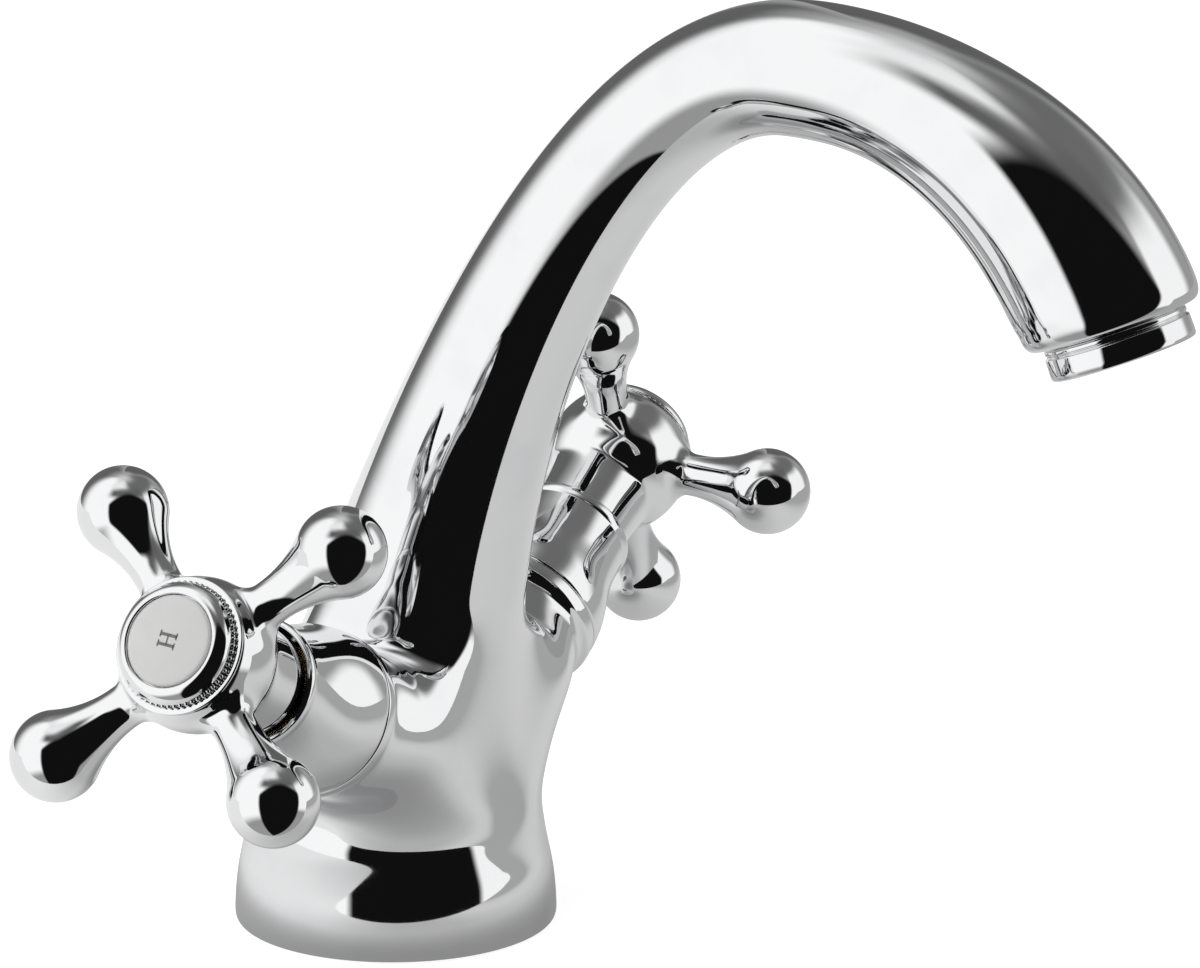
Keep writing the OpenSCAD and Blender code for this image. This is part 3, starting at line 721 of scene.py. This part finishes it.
# %% The bored floor of the foot
WEB_BOTTOM = 8.0
WEB_RADIUS = 21.2
WEB_TOP = ROOT_TOP - 0.1
BORES = ((0, 10, 3.4), (-9.5, -4.7, 4.5), (9.5, -4.7, 4.5))
bm = bmesh.new()
bmesh.ops.create_circle(bm, segments=96, radius=WEB_RADIUS, matrix=Matrix.Translation((0, 0, WEB_BOTTOM)))
for x, y, radius in BORES:
    bmesh.ops.create_circle(bm, segments=48, radius=radius, matrix=Matrix.Translation((x, y, WEB_BOTTOM)))
filled = bmesh.ops.triangle_fill(bm, edges=bm.edges, use_beauty=True)["geom"]
web = [part for part in filled if isinstance(part, bmesh.types.BMFace)]
raised = bmesh.ops.extrude_face_region(bm, geom=web)["geom"]
raised = [part for part in raised if isinstance(part, bmesh.types.BMVert)]
bmesh.ops.translate(bm, vec=(0, 0, WEB_TOP - WEB_BOTTOM), verts=raised)
bmesh.ops.recalc_face_normals(bm, faces=bm.faces)
make_piece("foot_web", bm, "mixer", "brass", sharp_angle=30)

# %% [markdown]
# ## Handle crosses
# A handle is one casting: a round hub with four arms that narrow, swell again and end in a ball. It is made
# like the body, as a cage whose hub has four open patches with an arm bridged to each, so that the roots get
# a cast fillet. A subdivided cage only comes close to a ball, and a mirror finish shows it, so after the
# subdivision the arms' points are moved onto the exact outline.

# %% The outline of an arm
ARM_WAIST = 15.0
ARM_SETTLING = 2.0
ARM_RADIUS = 3.7
BALL_REACH = 29.3
BALL_RADIUS = 7.6
arc_radius = ((BALL_REACH - ARM_WAIST) ** 2 + ARM_RADIUS**2 - BALL_RADIUS**2) / (2 * (BALL_RADIUS - ARM_RADIUS))
touch = math.atan2(ARM_RADIUS + arc_radius, BALL_REACH - ARM_WAIST)
touch_reach = BALL_REACH - BALL_RADIUS * math.cos(touch)


def arm_outline(reach):
    """Radius of the arm at this distance from the valve axis."""
    if reach < touch_reach:
        return ARM_RADIUS + arc_radius - math.sqrt(arc_radius**2 - (reach - ARM_WAIST) ** 2)
    return math.sqrt(max(BALL_RADIUS**2 - (reach - BALL_REACH) ** 2, 0))


print("the arc of an arm has radius", round(arc_radius, 2), "and meets the ball at", round(touch_reach, 2))

# %% A cage for one cross
HUB_SIDES = 32
ARMS = 4
HUB_RADIUS = 12.9
HUB_MIDDLE = -0.2
HUB_FRONT = 5.9
SCREW_BORE = 2.3
ARM_PATCH_LOW, ARM_PATCH_HIGH = -4.4, 3.7
ARM_PATCH_INSIDE = 10.5
ARM_PATCH_SPREAD = math.radians(22.5)
ARM_REACHES = (13.6, 15.0, 16.8, 18.6, 20.4, 22.2, 24.0, 25.6, 27.2, 29.3, 31.2, 33.0, 34.6, 35.7, 36.4, 36.78)


def hub_radius(height):
    return math.sqrt(HUB_RADIUS**2 - (height - HUB_MIDDLE) ** 2)


hub_swell = swell(HUB_SIDES)
arm_swell = swell(CAGE_SIDES)
HUB_BORE = ((5.45, -2.3, 1), (5.45, -15.8, 1), (7.0, -15.8, 1), (7.0, -20.2, 1))
HUB_NECK = ((9.2, -20.2, 0), (9.45, -20.0, 0), (9.5, -19.0, 0), (9.55, -14.0, 0), (9.6, -10.3, 0))
HUB_DOME = tuple((hub_radius(z), z, 0) for z in (-8.6, -7.8, -6.7, -5.6, -4.4, -2.3, -0.2, 1.8, 3.7, 4.8))
HUB_FACE = (
    (hub_radius(5.5), 5.5, 0), (11.4, 5.8, 0), (11.1, 5.9, 0), (8.4, 5.9, 0), (8.05, 5.8, 0),
    (8.05, 2.9, 1), (5.2, 2.9, 1), (5.2, -0.3, 1), (SCREW_BORE, -0.3, 1),
)


def cross_cage():
    cage = new_cage()
    start = ring(UPRIGHT, SCREW_BORE * hub_swell, HUB_BORE[0][1])
    first = circle(cage, HUB_SIDES, start)
    set_crease(cage, first, 1)
    outline = HUB_BORE + HUB_NECK + HUB_DOME + HUB_FACE
    last = sweep(cage, first, start, [(ring(UPRIGHT, r * hub_swell, z), crease) for r, z, crease in outline])
    bmesh.ops.bridge_loops(cage, edges=first + last)
    cage.normal_update()
    for arm in range(ARMS):
        outwards = Matrix.Rotation(2 * math.pi * arm / ARMS, 4, "Z") @ Matrix.Rotation(math.pi / 2, 4, "Y")
        axis = outwards.col[2].to_3d()
        patch = []
        for face in cage.faces:
            middle = face.calc_center_median()
            flat = Vector((middle.x, middle.y, 0))
            in_band = ARM_PATCH_LOW < middle.z < ARM_PATCH_HIGH
            if in_band and flat.length > ARM_PATCH_INSIDE and flat.angle(axis) < ARM_PATCH_SPREAD:
                patch.append(face)
        bmesh.ops.delete(cage, geom=patch, context="FACES")
        hole = [edge for edge in cage.edges if edge.is_boundary]
        before = ring(outwards, arm_outline(ARM_REACHES[0]) * arm_swell, ARM_REACHES[0])
        root = circle(cage, CAGE_SIDES, before)
        bmesh.ops.bridge_loops(cage, edges=hole + root)
        rings = [(ring(outwards, arm_outline(reach) * arm_swell, reach), 0) for reach in ARM_REACHES[1:]]
        tip = close(cage, sweep(cage, root, before, rings), 0)
        bmesh.ops.poke(cage, faces=tip)
    bmesh.ops.recalc_face_normals(cage, faces=cage.faces)
    return cage


cage = cross_cage()
print("cross cage:", len(cage.faces), "faces")


# %% Two crosses with exact arms
def subdivided(cage, levels):
    """The smooth mesh of a cage, as a new bmesh."""
    mesh = bpy.data.meshes.new("cage")
    cage.to_mesh(mesh)
    cage.free()
    holder = bpy.data.objects.new("cage", mesh)
    bpy.context.scene.collection.objects.link(holder)
    subdivide(holder, levels)
    smooth = bpy.data.meshes.new_from_object(holder.evaluated_get(bpy.context.evaluated_depsgraph_get()))
    bpy.data.objects.remove(holder)
    bpy.data.meshes.remove(mesh)
    made = bmesh.new()
    made.from_mesh(smooth)
    bpy.data.meshes.remove(smooth)
    return made


def settle_arms(bm):
    """Moves the arms' points onto their exact outline, little by little where the root's fillet ends."""
    for vert in bm.verts:
        flat = Vector((vert.co.x, vert.co.y, 0))
        if flat.length < ARM_WAIST:
            continue
        arm = round(math.atan2(flat.y, flat.x) / (2 * math.pi / ARMS))
        axis = Matrix.Rotation(2 * math.pi * arm / ARMS, 3, "Z") @ Vector((1, 0, 0))
        reach = vert.co.dot(axis)
        if reach < ARM_WAIST:
            continue
        if reach > touch_reach:
            centre, wanted = axis * BALL_REACH, BALL_RADIUS
        else:
            centre, wanted = axis * reach, arm_outline(reach)
        offset = vert.co - centre
        exact = centre + offset.normalized() * wanted
        vert.co = vert.co.lerp(exact, min((reach - ARM_WAIST) / ARM_SETTLING, 1))


cross = subdivided(cage, 2)
settle_arms(cross)
for side, name in SIDE_NAMES.items():
    bm = cross.copy()
    bmesh.ops.transform(bm, matrix=handle(side), verts=bm.verts)
    make_piece(name + "_cross", bm, name + "_handle", "chrome", (name + "_handle_cross",))
cross.free()

# %% [markdown]
# ## Shrouds
# The shroud is a spun cone that hides the valve. Its outline bells out towards the boss and ends in a small
# rolled bead at the mouth, round the neck of the handle. Spinning half an outline is the natural way to make
# it, just as the real one is turned on a lathe.

# %% The shrouds
SHROUD_OUTLINE = (
    (14.1, 0.02, 0), (14.3, 0.2, 0), (14.32, 0.7, 0), (14.28, 1.6, 0), (14.17, 2.8, 0), (13.97, 4.2, 0),
    (13.68, 5.6, 0), (13.3, 7.0, 0), (12.86, 8.4, 0), (12.4, 9.8, 0), (11.98, 11.2, 0), (11.62, 12.6, 0),
    (11.34, 14.0, 0), (11.14, 15.4, 0), (11.0, 16.8, 0), (10.93, 18.2, 0), (10.88, 19.3, 0.1),
    (10.98, 19.6, 0.1), (11.12, 20.2, 0.3), (11.12, 21.1, 0.4), (10.7, 21.6, 0.35), (10.0, 21.6, 0.35),
    (9.98, 18.5, 0), (10.3, 12.0, 0), (12.4, 2.0, 0), (12.7, 0.02, 0),
)
for side, name in SIDE_NAMES.items():
    bm = bmesh.new()
    turned(bm, SHROUD_OUTLINE, valve(side, BOSS_FACE), 128)
    make_piece(name + "_cover", bm, "mixer", "chrome", (name + "_shroud",), 50)

# %% [markdown]
# ## Index caps
# The cap is a bezel pressed into the hub: a thin collar, a row of small beads, a rounded shoulder and a
# recess for the porcelain disc. The beads are real geometry, each a small ball of a few dozen faces, because
# a bump map would vanish on the outline of the cap.

# %% The bezels with their beads
CAP_OUTLINE = (
    (0, 0, 0), (11.38, 0, 0), (11.5, 0.12, 0), (11.5, 0.36, 0.08), (11.3, 0.5, 0.08), (10.2, 0.54, 0),
    (10.08, 0.7, 0), (10.08, 1.5, 0), (10.16, 1.66, 0.05), (10.2, 1.85, 0), (10.12, 2.3, 0), (9.92, 2.8, 0),
    (9.6, 3.25, 0), (9.2, 3.63, 0), (8.75, 3.92, 0), (8.35, 4.07, 0), (8.05, 4.1, 0), (7.84, 4.02, 0),
    (7.74, 3.86, 0), (7.72, 3.6, 0), (7.72, 2.9, 0), (0, 2.9, 0),
)
BEADS = 60
BEAD_RADIUS = 0.5
BEAD_RING = 10.12
BEAD_HEIGHT = 1.1
BEAD_STRETCH = Matrix.Diagonal((1, 0.92, 1.05, 1))
for side, name in SIDE_NAMES.items():
    bm = bmesh.new()
    turned(bm, CAP_OUTLINE, UPRIGHT, 120, closed=False)
    for bead in range(BEADS):
        place = Matrix.Rotation(2 * math.pi * bead / BEADS, 4, "Z") @ Matrix.Translation((BEAD_RING, 0, BEAD_HEIGHT))
        bmesh.ops.create_uvsphere(
            bm, u_segments=10, v_segments=7, radius=BEAD_RADIUS, matrix=place @ BEAD_STRETCH
        )
    bmesh.ops.transform(bm, matrix=handle(side) @ Matrix.Translation((0, 0, HUB_FRONT)), verts=bm.verts)
    make_piece(name + "_bezel", bm, name + "_handle", "chrome", (name + "_index_cap",), 50)

# %% [markdown]
# ## Porcelain discs and letters
# The discs are slightly crowned, with a rounded edge. The letters H and C are printed in dark enamel. They
# are thin plates a few hundredths of a millimetre proud of the glaze, cut from plain bars and an arc, so
# that they stay sharp at any distance and don't need a font.

# %% The discs
DISC_RADIUS = 7.6
DISC_BASE = 2.92
DISC_EDGE = 3.95
DISC_CROWN = 0.5
DISC_RINGS = 12


def disc_height(radius):
    return DISC_EDGE + DISC_CROWN * (1 - (radius / DISC_RADIUS) ** 2)


disc_steps = [DISC_RADIUS * step / DISC_RINGS for step in range(DISC_RINGS - 1, -1, -1)]
DISC_OUTLINE = [(0, DISC_BASE, 0), (DISC_RADIUS - 0.1, DISC_BASE, 0), (DISC_RADIUS, DISC_BASE + 0.2, 0)]
DISC_OUTLINE += [(DISC_RADIUS, DISC_EDGE - 0.25, 0), (DISC_RADIUS - 0.08, DISC_EDGE - 0.08, 0)]
DISC_OUTLINE += [(radius, disc_height(radius), 0) for radius in disc_steps]
for side, name in SIDE_NAMES.items():
    bm = bmesh.new()
    turned(bm, DISC_OUTLINE, UPRIGHT, 96, closed=False)
    bmesh.ops.transform(bm, matrix=handle(side) @ Matrix.Translation((0, 0, HUB_FRONT)), verts=bm.verts)
    make_piece(name + "_disc", bm, name + "_handle", "porcelain", (name + "_index_disc",))


# %% The letters
LETTER_HEIGHT = 3.2
STEM = 0.48
SERIF = 1.1
HAIRLINE = 0.2
LETTER_SPREAD = 0.82
LETTER_LIFT = 0.02
LETTER_DEPTH = 0.05
BOW_GAP = 96
BOW_STEPS = 36
BOW_NARROWING = 0.88
BOW_TIP = (0.78, LETTER_HEIGHT / 2 - 0.62, HAIRLINE, 0.8)
LETTER_SPIN = {HOT: 132, COLD: 90}


def bar(bm, x, y, width, tall):
    """A flat plate with its middle at x, y."""
    place = Matrix.Translation((x, y, 0)) @ Matrix.Diagonal((width, tall, LETTER_DEPTH, 1))
    bmesh.ops.create_cube(bm, size=1, matrix=place)


def letter_h(bm):
    for x in (-LETTER_SPREAD, LETTER_SPREAD):
        bar(bm, x, 0, STEM, LETTER_HEIGHT)
        for y in (-1, 1):
            bar(bm, x, y * (LETTER_HEIGHT - HAIRLINE) / 2, SERIF, HAIRLINE)
    bar(bm, 0, 0, 2 * LETTER_SPREAD, HAIRLINE * 1.2)


def letter_c(bm):
    bow = bmesh.new()
    inner, outer = LETTER_HEIGHT / 2 - STEM, LETTER_HEIGHT / 2
    low, high = -LETTER_DEPTH / 2, LETTER_DEPTH / 2
    corners = [bow.verts.new(place) for place in ((inner, 0, low), (outer, 0, low), (outer, 0, high), (inner, 0, high))]
    face = bow.faces.new(corners)
    bmesh.ops.rotate(bow, cent=(0, 0, 0), matrix=Matrix.Rotation(math.radians(BOW_GAP / 2), 3, "Z"), verts=bow.verts)
    bmesh.ops.spin(
        bow, geom=[face] + face.edges[:] + face.verts[:], cent=(0, 0, 0), axis=(0, 0, 1),
        angle=math.radians(360 - BOW_GAP), steps=BOW_STEPS, use_merge=False,
    )
    bmesh.ops.recalc_face_normals(bow, faces=bow.faces)
    bmesh.ops.scale(bow, vec=(BOW_NARROWING, 1, 1), verts=bow.verts)
    part = bpy.data.meshes.new("bow")
    bow.to_mesh(part)
    bow.free()
    bm.from_mesh(part)
    bpy.data.meshes.remove(part)
    bar(bm, *BOW_TIP)


lift = Matrix.Translation((0, 0, HUB_FRONT + disc_height(0) + LETTER_LIFT))
for side, draw in ((HOT, letter_h), (COLD, letter_c)):
    name = SIDE_NAMES[side]
    bm = bmesh.new()
    draw(bm)
    spin = Matrix.Rotation(math.radians(LETTER_SPIN[side]), 4, "Z")
    bmesh.ops.transform(bm, matrix=handle(side) @ lift @ spin, verts=bm.verts)
    make_piece(name + "_letter", bm, name + "_handle", "letter_enamel", sharp_angle=30)

# %% [markdown]
# ## Aerator
# The aerator ring screws into the spout from below. It is turned too: a rounded shoulder, a fine groove, a
# straight barrel for the key and a lip that turns in to hold the screens. Below, the water leaves through
# woven wire, which is made by turning a round grid into a lattice of thin bars.

# %% The aerator ring and its screen
AERATOR_OUTLINE = (
    (9.1, 0.3, 0), (9.3, 0.0, 0.1), (11.6, 0.0, 0), (11.95, 0.12, 0), (12.15, 0.45, 0), (12.18, 1.2, 0),
    (12.12, 3.7, 0.15), (11.7, 3.95, 0.1), (11.72, 4.15, 0.1), (11.9, 4.35, 0.1), (11.9, 4.95, 0.25),
    (11.5, 5.35, 0.1), (11.0, 5.45, 0), (11.0, 11.8, 0.1), (9.7, 11.8, 0.1), (9.7, 1.2, 0), (9.1, 1.2, 0),
)
AERATOR_HEIGHT = 5.4
aerator = outlet @ Matrix.Translation((0, 0, AERATOR_HEIGHT)) @ Matrix.Rotation(math.pi, 4, "X")
bm = bmesh.new()
turned(bm, AERATOR_OUTLINE, aerator, 128)
make_piece("aerator_ring", bm, "mixer", "chrome", ("aerator_housing",), 50)

SCREEN_RADIUS = 9.6
SCREEN_CELLS = 26
SCREEN_HEIGHT = 1.7
WIRE_THICKNESS = 0.32
bm = bmesh.new()
bmesh.ops.create_grid(bm, x_segments=SCREEN_CELLS, y_segments=SCREEN_CELLS, size=SCREEN_RADIUS)
outside = [face for face in bm.faces if face.calc_center_median().length > SCREEN_RADIUS]
bmesh.ops.delete(bm, geom=outside, context="FACES")
bmesh.ops.wireframe(
    bm, faces=bm.faces, thickness=WIRE_THICKNESS, use_replace=True, use_boundary=True, use_even_offset=True
)
bmesh.ops.transform(bm, matrix=aerator @ Matrix.Translation((0, 0, SCREEN_HEIGHT)), verts=bm.verts)
make_piece("aerator_wire", bm, "mixer", "steel_mesh", ("aerator_screen",), 30)

# %% [markdown]
# ## The end
# The last cell gives every CAD part that is kept the finish that the record names for it, and hands
# the scene to the frame.

# %% Finish
for node_name, node in frame["nodes"].items():
    wanted = next(part["material_slot"] for part in frame["record"]["subparts"] if part["node"] == node_name)
    node.data.materials.clear()
    node.data.materials.append(materials[wanted])
print("CAD nodes shown with new finishes:", len(frame["nodes"]))
